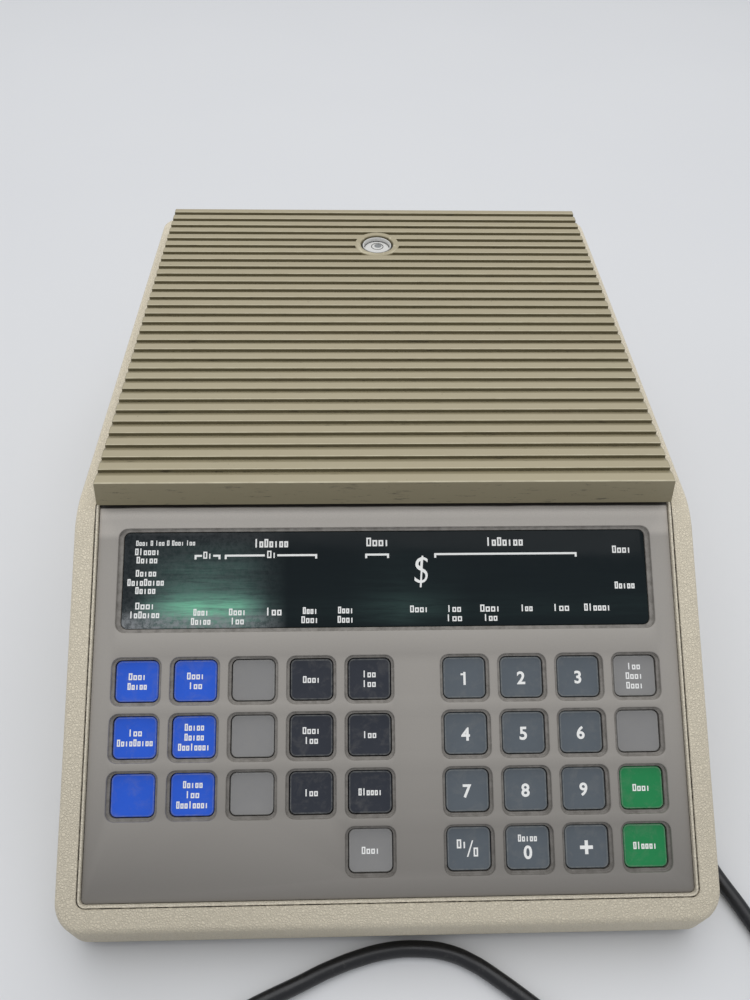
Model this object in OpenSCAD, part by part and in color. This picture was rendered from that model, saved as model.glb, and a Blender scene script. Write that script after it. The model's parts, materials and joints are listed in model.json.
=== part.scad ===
// Electronic postal scale with a ribbed weigh platform and a sloping key console.
// Millimetres. Origin: centre of the footprint, on the surface the feet stand on.
// +Z is up, the console faces -Y.

/* [Case] */
// Width of the case
case_w = 279; // [277:0.5:281]
// Depth of the case, front to back
case_d = 406; // [404:1:410]
// Height of the flat deck under the platform
deck_h = 120; // [119.5:0.5:120.5]
// Height of the joint between base pan and upper housing
split_h = 12; // [11:0.5:13]
// Radius of the case's corners seen from above
corner_r = 11; // [10:0.5:12]
// Wall of the mouldings
wall = 3; // [2.5:0.5:3]

/* [Console] */
// Slope of the console
console_angle = 31.7; // [31.5:0.1:31.9]
// Width of the console panel
console_w = 258; // [257:0.5:259]
// Length of the console panel down the slope
console_l = 166.8; // [166:0.2:167]
// Width of the recess round the display window
window_recess_w = 240; // [236:1:242]
// Length of the recess round the display window, down the slope
window_recess_l = 46; // [44:1:48]

/* [Keys] */
// Spacing of the keys across the console
key_pitch_x = 25.4; // [25:0.1:25.6]
// Spacing of the key rows down the slope
key_pitch_y = 23.8; // [23.4:0.1:24]
// Width of a key cap
key_w = 18.6; // [17:0.2:18.8]
// Length of a key cap down the slope
key_l = 17.6; // [16.6:0.2:17.8]
// Depth of a cap's face below the panel
key_sink = 2.4; // [2:0.1:2.6]
// Travel of a key
key_travel = 2.5; // [2:0.1:2.6]

/* [Platform] */
// Width of the weigh platform's ribbed top
platform_w = 255; // [252:1:256]
// Depth of the weigh platform's ribbed top
platform_d = 236.5; // [235:0.5:237]
// Height of the platform's rib tops above the floor
platform_h = 136; // [135.8:0.1:137]
// Height of the platform's skirt
skirt_h = 12.6; // [12:0.1:13]
// Lean of the skirt, outwards at its lower edge
skirt_draft = 1.5; // [1:0.1:1.8]
// Spacing of the ribs
rib_pitch = 7.73; // [7.7:0.01:7.76]

/* [Feet] */
// Gap between the base pan and the floor
foot_gap = 3.5; // [3.3:0.1:4]
// Travel of a levelling foot on its screw
foot_travel = 4; // [2:0.5:4]

/* [Cord] */
// Diameter of the power cord
cord_d = 6.6; // [6.2:0.2:6.8]

/* [Hidden] */
LEFT_KEYS = [
  ["key_first_class", 0, 0, "royal"], ["key_third_class", 1, 0, "royal"],
  ["key_express", 0, 1, "royal"], ["key_intl_letter", 1, 1, "royal"],
  ["key_blank_blue", 0, 2, "royal"], ["key_intl_print", 1, 2, "royal"],
  ["key_blank_grey_1", 2, 0, "grey"], ["key_blank_grey_2", 2, 1, "grey"],
  ["key_blank_grey_3", 2, 2, "grey"],
  ["key_certified", 3, 0, "navy"], ["key_return_receipt", 4, 0, "navy"],
  ["key_special_delivery", 3, 1, "navy"], ["key_insured", 4, 1, "navy"],
  ["key_registered", 3, 2, "navy"], ["key_cod", 4, 2, "navy"],
  ["key_zero", 4, 3, "grey"]
];
RIGHT_KEYS = [
  ["key_digit_1", 0, 0, "slate"], ["key_digit_2", 1, 0, "slate"], ["key_digit_3", 2, 0, "slate"],
  ["key_digit_4", 0, 1, "slate"], ["key_digit_5", 1, 1, "slate"], ["key_digit_6", 2, 1, "slate"],
  ["key_digit_7", 0, 2, "slate"], ["key_digit_8", 1, 2, "slate"], ["key_digit_9", 2, 2, "slate"],
  ["key_clear", 0, 3, "slate"], ["key_digit_0", 1, 3, "slate"], ["key_plus", 2, 3, "slate"],
  ["key_zip_zone", 3, 0, "grey"], ["key_blank_right", 3, 1, "grey"],
  ["key_tape", 3, 2, "green"], ["key_letter", 3, 3, "green"]
];
FEET = [
  ["foot_front_left", -1, -1], ["foot_front_right", 1, -1],
  ["foot_rear_left", -1, 1], ["foot_rear_right", 1, 1]
];

$fn = 48;
eps = 0.01;

// Case and console geometry
front_y = -case_d / 2;
rear_y = case_d / 2;
console_top_y = front_y + 152;
console_top_z = deck_h - 0.8;
rim_rise = 2;
strip_rise = 1.3;
strip_w = 2.4;
groove_w = 0.7;
groove_t = 0.9;
bend_r = 34;
edge_r = 3;
platform_front_y = console_top_y - 1;
platform_c = [0, platform_front_y + platform_d / 2];
pan_inset = 1.5;

// Key block positions in the console's own frame: x across, u down the slope
left_x = -110;
right_x = 33.6;
first_u = 77;
panel_tuck = 2.2;
panel_r = 2;
key_r = 2.6;
key_h = 7;
well = [21.6, 20.6];
through = [19.6, 18.6];
stem_d = 6;
running_gap = 0.05;
guide_n = -(key_sink + key_h + key_travel + 0.4);
guide_t = 3;
board_n = guide_n - guide_t - 7;
board_t = 1.6;

// Scale mechanism heights
spider_z = deck_h + 2.2;
spider_t = 4.5;
weigh_travel = 0.4;
cell_gap = weigh_travel + 0.3;
sheet_z = platform_h - 4.2;
skirt_t = 2.4;
groove_count = 30;
groove_depth = 1.75;
groove_slope = 3.2;
first_groove = 0.57 + rib_pitch;
spider_posts = [[-85, -50], [85, -50], [-85, 50], [85, 50]];
post_pin_d = 6;
cell_len = 130;
cell_w = 25;
cell_h = 28;
cell_top = 105;
level_y = platform_front_y + 195.3;
level_top = platform_h - 2.3;
sight_d = 19.6;
sight_ring_d = 25.8;

// Feet, screws and rear fittings
foot_pos = [case_w / 2 - 27, case_d / 2 - 30];
foot_stem_d = 6;
screw_pos = [[-110, -196], [110, -196], [-129, 0], [129, 0], [-122, 186], [122, 186]];
plate_w = 200;
plate_z = [16, 52];
switch_x = -84;
switch_z = 34;
connector_x = -30;
connector_z = 32;
gland_x = 57;
gland_z = 30;

// Cord route where it is not coiled: gland, round the rear corner, along the case, front loop
CORD_ROUTE = [
  [57, 223, 30], [58, 232, 29.5], [61, 243, 27], [68, 254, 21], [79, 262, 13.5], [93, 266, 7],
  [108, 264, 3.8], [122, 257, 3.4], [133, 246, 3.4], [140, 233, 3.4], [143, 218, 3.4],
  [144, 190, 3.4], [144, 100, 3.4], [144, 10, 3.4], [144, -80, 3.4], [144, -135, 3.4],
  [146, -158, 3.4], [152, -177, 3.4], [160, -194, 3.4], [167, -211, 3.4], [170, -229, 3.4],
  [165, -247, 3.4], [153, -260, 3.4], [137, -266, 3.4], [120, -265, 3.4], [104, -258.5, 3.4],
  [88, -248.5, 3.4], [72, -237.5, 3.4], [57, -226.5, 3.4], [47, -219.5, 3.4], [36, -212.7, 3.4],
  [25, -208.4, 3.4], [12, -206.7, 3.4], [-1, -207.2, 3.4], [-14, -209.8, 3.4], [-27, -213.9, 3.4],
  [-39, -218.8, 3.4], [-53, -224.3, 3.4], [-82, -236.5, 3.4], [-112, -244, 3.4]
];
coil_c = [-112, -282];
coil_r = 38;
coil_turns = 3.5;
cord_end_z = CORD_ROUTE[len(CORD_ROUTE) - 1][2];
plug_at = [coil_c[0] + 2, coil_c[1] - coil_r, cord_end_z + cord_d * coil_turns];
plug_turn = [0, 14, -18];

// ---- shared shapes ----

module rounded_rect(w, d, r) {
  square([w - 2 * r, d], center = true);
  square([w, d - 2 * r], center = true);
  for (sx = [-1, 1], sy = [-1, 1])
    translate([sx * (w / 2 - r), sy * (d / 2 - r)])
      circle(r = r);
}

module rounded_block(w, d, h, r) {
  linear_extrude(h)
    rounded_rect(w, d, r);
}

// Console frame: local x across, local -y down the slope, local z out of the panel
module on_console() {
  translate([0, console_top_y, console_top_z])
    rotate([console_angle, 0, 0])
      children();
}

module at_uv(x, u, n) {
  translate([x, -u, n])
    children();
}

module each_key() {
  for (k = LEFT_KEYS)
    at_uv(left_x + k[1] * key_pitch_x, first_u + k[2] * key_pitch_y, 0)
      children();
  for (k = RIGHT_KEYS)
    at_uv(right_x + k[1] * key_pitch_x, first_u + k[2] * key_pitch_y, 0)
      children();
}

// Point on the case's sloping face, y and z, at a given height over the panel plane
function slope_z(y, n) =
  console_top_z + (y - console_top_y) * tan(console_angle) + n / cos(console_angle);
function slope_y(z, n) =
  console_top_y + (z - console_top_z - n / cos(console_angle)) / tan(console_angle);

// Points of an arc, y and z
function arc(c, r, a0, a1, steps) =
  [for (i = [0:steps]) [c[0] + r * cos(a0 + (a1 - a0) * i / steps),
                        c[1] + r * sin(a0 + (a1 - a0) * i / steps)]];

// Side outline of the case, drawn inwards by t from its outer skin, floor at z0
function side_outline(t, z0) =
  let (yf = front_y + t, yr = rear_y - t, zt = deck_h - t,
       n = rim_rise - t,
       bend_y = slope_y(zt, n), rb = bend_r - t,
       bend_c = [bend_y + rb * tan(console_angle / 2), zt - rb],
       re = max(edge_r - t, 0.5),
       front_c = [yf + re, slope_z(yf + re, n) - re / cos(console_angle)])
  concat([[yf, z0]],
         arc(front_c, re, 180, 90 + console_angle, 4),
         arc(bend_c, rb, 90 + console_angle, 90, 8),
         arc([yr - re, zt - re], re, 90, 0, 4),
         [[yr, z0]]);

module case_solid(t, z0) {
  intersection() {
    rotate([90, 0, 90])
      translate([0, 0, -case_w / 2])
        linear_extrude(case_w)
          polygon(side_outline(t, z0));
    translate([0, 0, z0])
      rounded_block(case_w - 2 * t, case_d - 2 * t, deck_h, corner_r - t);
  }
}

// ---- case ----

module base_pan() {
  pan_w = case_w - 2 * pan_inset;
  pan_d = case_d - 2 * pan_inset;
  color("tan")
    difference() {
      union() {
        difference() {
          translate([0, 0, foot_gap])
            rounded_block(pan_w, pan_d, split_h - foot_gap, corner_r - pan_inset);
          translate([0, 0, foot_gap + wall])
            rounded_block(pan_w - 2 * wall, pan_d - 2 * wall, split_h, corner_r - wall - 1);
        }
        for (p = screw_pos)
          translate([p[0], p[1], foot_gap])
            cylinder(d = 10, h = split_h - foot_gap);
        for (f = FEET)
          translate([f[1] * foot_pos[0], f[2] * foot_pos[1], foot_gap])
            cylinder(d = 14, h = 15);
      }
      for (p = screw_pos)
        translate([p[0], p[1], 0]) {
          cylinder(d = 4.3, h = split_h + 1);
          cylinder(d = 9, h = foot_gap + 3.2);
        }
      for (f = FEET)
        translate([f[1] * foot_pos[0], f[2] * foot_pos[1], 0])
          cylinder(r = foot_stem_d / 2 + running_gap, h = 30);
    }
}

module upper_housing() {
  open_w = console_w + 0.6;
  open_l = console_l + panel_tuck + 0.6;
  strip_zone = [console_w + 2 * strip_w, console_l + panel_tuck + 2 * strip_w];
  color("wheat")
    difference() {
      union() {
        difference() {
          case_solid(0, split_h);
          case_solid(wall, split_h - eps);
        }
        intersection() {
          case_solid(1, split_h);
          for (p = screw_pos)
            translate([p[0], p[1], split_h])
              cylinder(d = 9, h = deck_h);
        }
      }
      for (p = screw_pos)
        translate([p[0], p[1], split_h - 1])
          cylinder(d = 4, h = 13);
      on_console()
        at_uv(0, (console_l - panel_tuck) / 2, 0) {
          translate([0, 0, -12])
            rounded_block(open_w, open_l, 20, panel_r + 0.3);
          translate([0, 0, strip_rise])
            rounded_block(strip_zone[0], strip_zone[1], 5, panel_r + strip_w);
          translate([0, 0, strip_rise - groove_t])
            difference() {
              rounded_block(strip_zone[0] - 0.2, strip_zone[1] - 0.2, 2, panel_r + strip_w - 0.1);
              translate([0, 0, -1])
                rounded_block(strip_zone[0] - 2 * groove_w, strip_zone[1] - 2 * groove_w, 4,
                              panel_r + strip_w - groove_w);
            }
        }
      translate([0, 22, deck_h - 10])
        rounded_block(60, 140, 20, 6);
      translate([-plate_w / 2, rear_y - wall - 1, plate_z[0]])
        cube([plate_w, 10, plate_z[1] - plate_z[0]]);
    }
}

module case_screws() {
  color("silver")
    for (p = screw_pos)
      translate([p[0], p[1], foot_gap + 0.8]) {
        cylinder(d = 8, h = 2.4);
        cylinder(d = 3.9, h = 18);
      }
}

module foot(side) {
  color("dimgray")
    translate([side[1] * foot_pos[0], side[2] * foot_pos[1], 0]) {
      cylinder(d = 22, h = foot_gap - 0.4);
      cylinder(d = foot_stem_d, h = 13 + foot_travel);
    }
}

module rear_plate() {
  color("gainsboro")
    difference() {
      translate([-plate_w / 2 + 0.2, rear_y - 2.5, plate_z[0] + 0.2])
        cube([plate_w - 0.4, 2, plate_z[1] - plate_z[0] - 0.4]);
      translate([switch_x - 7.2, rear_y - 5, switch_z - 14.2])
        cube([14.4, 10, 28.4]);
      translate([connector_x - 20, rear_y - 5, connector_z - 6])
        cube([40, 10, 12]);
      translate([gland_x, rear_y - 5, gland_z])
        rotate([-90, 0, 0])
          cylinder(d = 14.2, h = 10);
    }
}

// ---- console ----

module keyboard_bezel() {
  color("darkgray")
    on_console()
      difference() {
        at_uv(0, (console_l - panel_tuck) / 2, -4.5)
          rounded_block(console_w, console_l + panel_tuck, 4.5, panel_r);
        at_uv(0, 10 + window_recess_l / 2, -1.6)
          rounded_block(window_recess_w, window_recess_l, 5, 4);
        at_uv(0, 10 + window_recess_l / 2, -6)
          rounded_block(window_recess_w - 3.6, window_recess_l - 2.8, 8, 3);
        each_key() {
          translate([0, 0, -1.6])
            rounded_block(well[0], well[1], 5, 3.8);
          translate([0, 0, -6])
            rounded_block(through[0], through[1], 8, 3);
        }
      }
}

module display_window() {
  color("darkslategray")
    on_console()
      at_uv(0, 10 + window_recess_l / 2, -4.4)
        rounded_block(window_recess_w - 4, window_recess_l - 3.2, 2.4, 2.8);
}

module display_tube() {
  color("black")
    on_console()
      at_uv(0, 10 + window_recess_l / 2, board_n + board_t)
        for (x = [-66, 8, 70])
          translate([x, 0, 0])
            rounded_block(x < 0 ? 66 : 52, 22, 7.5, 2);
}

module key_guide_plate() {
  color("gray")
    on_console()
      difference() {
        at_uv(0, 112, guide_n - guide_t)
          rounded_block(248, 92, guide_t, 4);
        each_key()
          translate([0, 0, guide_n - guide_t - 1])
            cylinder(r = stem_d / 2 + running_gap, h = guide_t + 2);
      }
}

module key_springs() {
  color("silver")
    on_console()
      each_key()
        translate([0, 0, guide_n])
          difference() {
            cylinder(d = 8.8, h = 4.2);
            translate([0, 0, -1])
              cylinder(d = 7.6, h = 7);
          }
}

module keyboard_board() {
  color("darkgreen")
    on_console()
      at_uv(0, 82, board_n)
        rounded_block(246, 142, board_t, 2);
}

module key_cap(paint) {
  color(paint == "royal" ? "royalblue" : paint == "navy" ? "darkslategray"
        : paint == "green" ? "seagreen" : paint == "slate" ? "slategray" : "gray")
    difference() {
      union() {
        translate([0, 0, -key_sink - key_h])
          rounded_block(key_w, key_l, key_h, key_r);
        translate([0, 0, guide_n - guide_t - 2.5])
          cylinder(d = stem_d, h = guide_t + key_h);
      }
      translate([0, 0, -key_sink - key_h - 1])
        difference() {
          cylinder(d = 10.5, h = 5.5);
          cylinder(d = stem_d, h = 5.5);
        }
    }
}

module console_key(k, x0) {
  on_console()
    at_uv(x0 + k[1] * key_pitch_x, first_u + k[2] * key_pitch_y, 0)
      key_cap(k[3]);
}

// ---- weighing mechanism ----

module base_frame() {
  color("slategray")
    difference() {
      union() {
        translate([-45, -20, foot_gap + wall])
          cube([90, 165, 4]);
        translate([-cell_w / 2, platform_c[1] + cell_len / 2 - 34, foot_gap + wall])
          cube([cell_w, 34, cell_top - cell_h - foot_gap - wall]);
      }
      for (x = [-36, 36], y = [-10, 135])
        translate([x, y, 0])
          cylinder(d = 4.5, h = 20);
    }
}

module load_cell() {
  color("silver")
    difference() {
      translate([-cell_w / 2, platform_c[1] - cell_len / 2, cell_top - cell_h])
        cube([cell_w, cell_len, cell_h]);
      for (dy = [-15, 15])
        translate([-cell_w, platform_c[1] + dy, cell_top - cell_h / 2])
          rotate([0, 90, 0])
            cylinder(d = 21, h = 2 * cell_w);
      translate([-cell_w, platform_c[1] - 15, cell_top - cell_h / 2 - 3])
        cube([2 * cell_w, 30, 6]);
    }
}

module platform_spider() {
  cell_end = platform_c[1] - cell_len / 2;
  color("lightgray") {
    for (dy = [-50, 50])
      translate([-95, platform_c[1] + dy - 8, spider_z])
        cube([190, 16, spider_t]);
    translate([-14, cell_end, spider_z])
      cube([28, cell_len - 4, spider_t]);
    translate([-14, cell_end, cell_top + cell_gap])
      cube([28, 26, spider_z - cell_top]);
    for (p = spider_posts)
      translate([p[0], platform_c[1] + p[1], spider_z + spider_t - eps]) {
        cylinder(d = 12, h = 2.2);
        cylinder(d = post_pin_d, h = sheet_z - spider_z - spider_t + 0.6);
      }
  }
}

// Outline of the ribbed top, y and z: each rib has an upright front, and slopes down behind
function rib_outline() =
  let (y0 = platform_front_y, y1 = y0 + platform_d, z = platform_h, low = z - skirt_h)
  concat(
    [[y0 - skirt_draft, low], [y0, z - 0.3], [y0 + 0.3, z]],
    [for (i = [0:groove_count - 1],
          q = [[-groove_slope, 0], [-0.3, -groove_depth], [0, -groove_depth], [0, -0.2], [0.2, 0]])
      [y0 + first_groove + i * rib_pitch + q[0], z + q[1]]],
    [[y1 - 0.3, z], [y1, z - 0.3], [y1 + skirt_draft, low]]);

// Outline of the platform seen from the front, x and z
function skirt_outline() =
  let (w = platform_w / 2, z = platform_h, low = z - skirt_h)
  [[-w - skirt_draft, low], [-w, z + 1], [w, z + 1], [w + skirt_draft, low]];

module weigh_platform() {
  color("darkkhaki")
    difference() {
      union() {
        difference() {
          intersection() {
            rotate([90, 0, 90])
              translate([0, 0, -platform_w])
                linear_extrude(2 * platform_w)
                  polygon(rib_outline());
            rotate([90, 0, 0])
              translate([0, 0, -platform_front_y - platform_d - 10])
                linear_extrude(platform_d + 20)
                  polygon(skirt_outline());
          }
          translate([-platform_w / 2 + skirt_t, platform_front_y + skirt_t, platform_h - skirt_h - 1])
            cube([platform_w - 2 * skirt_t, platform_d - 2 * skirt_t, skirt_h + 1 - platform_h + sheet_z]);
        }
        translate([0, level_y, sheet_z - 1])
          cylinder(d = sight_ring_d, h = platform_h - sheet_z + 1);
        for (p = spider_posts)
          translate([p[0], platform_c[1] + p[1], sheet_z - 2.4])
            cylinder(d = 14, h = 3);
      }
      translate([0, level_y, 0])
        cylinder(d = sight_d, h = platform_h + 5);
      for (p = spider_posts)
        translate([p[0], platform_c[1] + p[1], sheet_z - 5])
          cylinder(r = post_pin_d / 2 + running_gap, h = 6.2);
    }
}

module bubble_level() {
  color("whitesmoke")
    translate([0, level_y, 0]) {
      difference() {
        union() {
          translate([0, 0, deck_h])
            cylinder(d = 24, h = 5);
          translate([0, 0, deck_h + 4])
            cylinder(d = 18.2, h = level_top - deck_h - 4);
        }
        translate([0, 0, level_top - 1.6])
          cylinder(d = 16, h = 5);
      }
      translate([0, 0, level_top - 1.7])
        cylinder(d = 15.2, h = 1.2);
    }
}

// ---- electronics and rear fittings ----

module logic_board() {
  color("darkgreen") {
    translate([-105, -130, foot_gap + wall + 8])
      cube([210, 105, 1.6]);
    for (x = [-98, 98], y = [-123, -32])
      translate([x, y, foot_gap + wall])
        cylinder(d = 6, h = 8.1);
    for (x = [-80, -35, 10, 55], y = [-115, -75])
      translate([x, y, foot_gap + wall + 9.5])
        cube([34, 14, 4.2]);
  }
}

module transformer() {
  color("dimgray")
    translate([-112, 110, foot_gap + wall]) {
      cube([50, 42, 3]);
      translate([2, 8, 3])
        cube([46, 26, 40]);
      translate([9, 1, 8])
        cube([32, 40, 30]);
    }
}

module interface_connector() {
  color("silver")
    difference() {
      union() {
        translate([connector_x - 23, rear_y - 0.5, connector_z - 7.5])
          cube([46, 1.2, 15]);
        translate([connector_x - 19.6, rear_y - 12, connector_z - 5.7])
          cube([39.2, 16.5, 11.4]);
      }
      translate([connector_x - 18.6, rear_y, connector_z - 4.7])
        cube([37.2, 8, 9.4]);
      for (sx = [-1, 1])
        translate([connector_x + sx * 21.3, rear_y - 3, connector_z])
          rotate([-90, 0, 0])
            cylinder(d = 2.2, h = 6);
    }
}

module power_switch_body() {
  color("black")
    translate([switch_x, rear_y, switch_z])
      difference() {
        union() {
          translate([-8.5, -0.5, -15.5])
            cube([17, 1.8, 31]);
          translate([-7, -16, -14])
            cube([14, 16, 28]);
        }
        translate([-5.2, -12, -12.6])
          cube([10.4, 20, 25.2]);
        translate([-6.4, -2.5, 0])
          rotate([0, 90, 0])
            cylinder(r = 1.5 + running_gap, h = 12.8);
      }
}

module power_rocker() {
  color("firebrick")
    translate([switch_x, rear_y - 2.5, switch_z]) {
      rotate([0, 90, 0])
        translate([0, 0, -6.2])
          cylinder(r = 1.5, h = 12.4);
      rotate([-8, 0, 0])
        rotate([90, 0, 90])
          translate([0, 0, -4.9])
            linear_extrude(9.8)
              polygon([[5.6, 11.2], [3.6, 0], [5.6, -11.2], [0.5, -11.2], [-4.5, 0], [0.5, 11.2]]);
    }
}

// ---- power cord ----

module cord_gland() {
  color("black")
    translate([gland_x, rear_y, gland_z])
      rotate([-90, 0, 0])
        difference() {
          union() {
            translate([0, 0, -9])
              cylinder(d = 14, h = 9);
            translate([0, 0, -0.5])
              cylinder(d = 19, h = 3);
            translate([0, 0, 2])
              cylinder(d1 = 13, d2 = 9.4, h = 24);
          }
          translate([0, 0, -10])
            cylinder(d = cord_d + 0.3, h = 40);
        }
}

function unit(v) = v / norm(v);

// Ring of points round the cord's centre line at route point i
function ring(pts, i, r, sides) =
  let (a = pts[max(i - 1, 0)], b = pts[min(i + 1, len(pts) - 1)],
       t = unit(b - a), side = unit(cross(t, [0, 0, 1])), up = cross(side, t))
  [for (k = [0:sides - 1]) pts[i] + r * (cos(360 * k / sides) * side + sin(360 * k / sides) * up)];

module swept_tube(pts, r, sides) {
  n = len(pts);
  points = [for (i = [0:n - 1]) each ring(pts, i, r, sides)];
  walls = [for (i = [0:n - 2], k = [0:sides - 1])
    [i * sides + k, i * sides + (k + 1) % sides,
     (i + 1) * sides + (k + 1) % sides, (i + 1) * sides + k]];
  ends = [[for (k = [sides - 1:-1:0]) k], [for (k = [0:sides - 1]) (n - 1) * sides + k]];
  polyhedron(points, concat(walls, ends), convexity = 10);
}

module power_cord() {
  color("black")
    swept_tube(CORD_ROUTE, cord_d / 2, 10);
}

module cord_coil() {
  coil_h = cord_d * (coil_turns + 1);
  color("black")
    translate([coil_c[0], coil_c[1], 0])
      rotate_extrude()
        translate([coil_r - cord_d / 2, 0])
          square([cord_d, coil_h]);
}

module power_plug() {
  color("black")
    translate(plug_at)
      rotate(plug_turn)
        rotate([0, 90, 0]) {
          cylinder(d1 = 9.4, d2 = 17, h = 26);
          translate([0, 0, 26])
            rounded_block(25, 27, 32, 6);
        }
  color("gold")
    translate(plug_at)
      rotate(plug_turn)
        for (y = [-6.4, 6.4])
          translate([57, y - 0.75, -3.2])
            cube([17, 1.5, 6.4]);
}

base_pan();
upper_housing();
case_screws();
rear_plate();
keyboard_bezel();
display_window();
display_tube();
key_guide_plate();
key_springs();
keyboard_board();
base_frame();
load_cell();
platform_spider();
weigh_platform();
bubble_level();
logic_board();
transformer();
interface_connector();
power_switch_body();
power_rocker();
cord_gland();
power_cord();
cord_coil();
power_plug();
for (f = FEET) foot(f);
for (k = LEFT_KEYS) console_key(k, left_x);
for (k = RIGHT_KEYS) console_key(k, right_x);
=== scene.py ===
import json
import math

import bmesh
import bpy
from mathutils import Matrix, Vector
from mathutils.geometry import delaunay_2d_cdt


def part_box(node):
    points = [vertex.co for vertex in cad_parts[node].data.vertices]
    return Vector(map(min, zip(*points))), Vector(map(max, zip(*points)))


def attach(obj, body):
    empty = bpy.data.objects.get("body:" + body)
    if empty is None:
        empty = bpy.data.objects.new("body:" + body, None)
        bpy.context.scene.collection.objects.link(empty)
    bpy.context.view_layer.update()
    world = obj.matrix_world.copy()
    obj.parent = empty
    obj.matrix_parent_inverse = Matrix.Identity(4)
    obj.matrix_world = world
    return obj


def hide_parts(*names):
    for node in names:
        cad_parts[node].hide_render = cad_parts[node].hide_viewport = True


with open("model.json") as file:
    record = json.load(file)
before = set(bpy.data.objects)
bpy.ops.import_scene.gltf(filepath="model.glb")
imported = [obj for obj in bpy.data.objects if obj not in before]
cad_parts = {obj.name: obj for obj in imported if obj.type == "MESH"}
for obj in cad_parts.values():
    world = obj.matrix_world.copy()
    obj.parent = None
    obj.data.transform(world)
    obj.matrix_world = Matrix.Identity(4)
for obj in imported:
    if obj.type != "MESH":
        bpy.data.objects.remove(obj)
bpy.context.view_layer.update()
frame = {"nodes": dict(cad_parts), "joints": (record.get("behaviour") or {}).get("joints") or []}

MM = 0.001

# ---- the console's own frame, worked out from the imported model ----

# Sizes are in millimetres. A rounded rectangle is its width, length and corner radius.
# The panel goes on for PANEL_TUCK under the platform's lip, and u is measured from that lip.
PANEL_T = 4.5
PANEL_TUCK = 2.2
LIP_SHARE = 0.998
KEY_SINK = 2.4
KEY_L = 17.6
RECESS = (240.0, 46.0, 4.0)
WINDOW_U = 10 + RECESS[1] / 2
GLASS = (236.0, 42.8, 2.8)
GLASS_TOP = -2.0


def node_box(node):
    """Lowest and highest corner of a CAD node, in millimetres."""
    low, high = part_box(node)
    return low / MM, high / MM


KEY_JOINT = next(j for j in frame["joints"] if j["child"] == "key_digit_5")
PRESS_AXIS = Vector(KEY_JOINT["axis"]).normalized()
SIN_A = -PRESS_AXIS.y
COS_A = PRESS_AXIS.z
PANEL_LOW, PANEL_HIGH = node_box("keyboard_bezel")
PANEL_W = PANEL_HIGH.x - PANEL_LOW.x
PANEL_FULL = (PANEL_HIGH.z - PANEL_LOW.z - PANEL_T * COS_A) / SIN_A
PANEL_L = PANEL_FULL - PANEL_TUCK
CONSOLE_Z = PANEL_HIGH.z - PANEL_TUCK * SIN_A
CONSOLE_Y = PANEL_LOW.y + PANEL_L * COS_A


def console_point(x, u, n):
    """Point of the part's frame, in metres: x across, u down the slope from the lip, n out of the panel."""
    y = CONSOLE_Y - u * COS_A - n * SIN_A
    z = CONSOLE_Z - u * SIN_A + n * COS_A
    return Vector((x, y, z)) * MM


def key_centre(node):
    """Centre of a key on the panel, x and u in millimetres."""
    low, high = node_box(node)
    top_edge = (CONSOLE_Z - high.z - KEY_SINK * COS_A) / SIN_A
    return (low.x + high.x) / 2, top_edge + KEY_L / 2


def add_object(name, data):
    """A new object in the scene."""
    made = bpy.data.objects.new(name, data)
    bpy.context.scene.collection.objects.link(made)
    return made


# ---- camera ----

CAMERA_AT = (-0.01462, -0.27264, 0.37917)
CAMERA_DOWN = math.radians(49.11)
CAMERA_YAW = math.radians(-2.42)
CAMERA_ROLL = math.radians(1.52)


def make_camera():
    cam = add_object("camera", bpy.data.cameras.new("camera"))
    cam.data.sensor_fit = "VERTICAL"
    cam.data.sensor_height = 36
    cam.data.sensor_width = 27
    cam.data.lens = 27.05
    cam.data.clip_start = 0.01
    right = Vector((math.cos(CAMERA_YAW), math.sin(CAMERA_YAW), 0))
    ahead = Vector((-math.sin(CAMERA_YAW), math.cos(CAMERA_YAW), 0))
    up = Vector((0, 0, 1))
    look = math.cos(CAMERA_DOWN) * ahead - math.sin(CAMERA_DOWN) * up
    top = math.sin(CAMERA_DOWN) * ahead + math.cos(CAMERA_DOWN) * up
    across = math.cos(CAMERA_ROLL) * right + math.sin(CAMERA_ROLL) * top
    over = -math.sin(CAMERA_ROLL) * right + math.cos(CAMERA_ROLL) * top
    turn = Matrix((across, over, -look)).transposed().to_4x4()
    cam.matrix_world = Matrix.Translation(CAMERA_AT) @ turn
    bpy.context.scene.camera = cam


make_camera()

# ---- power cord ----

CORD_D = 6.6
CORD_ROUTE = [
    (57, 223, 30), (58, 232, 29.5), (61, 243, 27), (68, 254, 21), (79, 262, 13.5), (93, 266, 7),
    (108, 264, 3.8), (122, 257, 3.4), (133, 246, 3.4), (140, 233, 3.4), (143, 218, 3.4),
    (144, 190, 3.4), (144, 100, 3.4), (144, 10, 3.4), (144, -80, 3.4), (144, -135, 3.4),
    (146, -158, 3.4), (152, -177, 3.4), (160, -194, 3.4), (167, -211, 3.4), (170, -229, 3.4),
    (165, -247, 3.4), (153, -260, 3.4), (137, -266, 3.4), (120, -265, 3.4), (104, -258.5, 3.4),
    (88, -248.5, 3.4), (72, -237.5, 3.4), (57, -226.5, 3.4), (47, -219.5, 3.4), (36, -212.7, 3.4),
    (25, -208.4, 3.4), (12, -206.7, 3.4), (-1, -207.2, 3.4), (-14, -209.8, 3.4), (-27, -213.9, 3.4),
    (-39, -218.8, 3.4), (-53, -224.3, 3.4), (-82, -236.5, 3.4), (-112, -244, 3.4),
]
COIL_AT = (-112, -282)
COIL_R = 38
COIL_TURNS = 3.5
COIL_STEPS = 16


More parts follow.
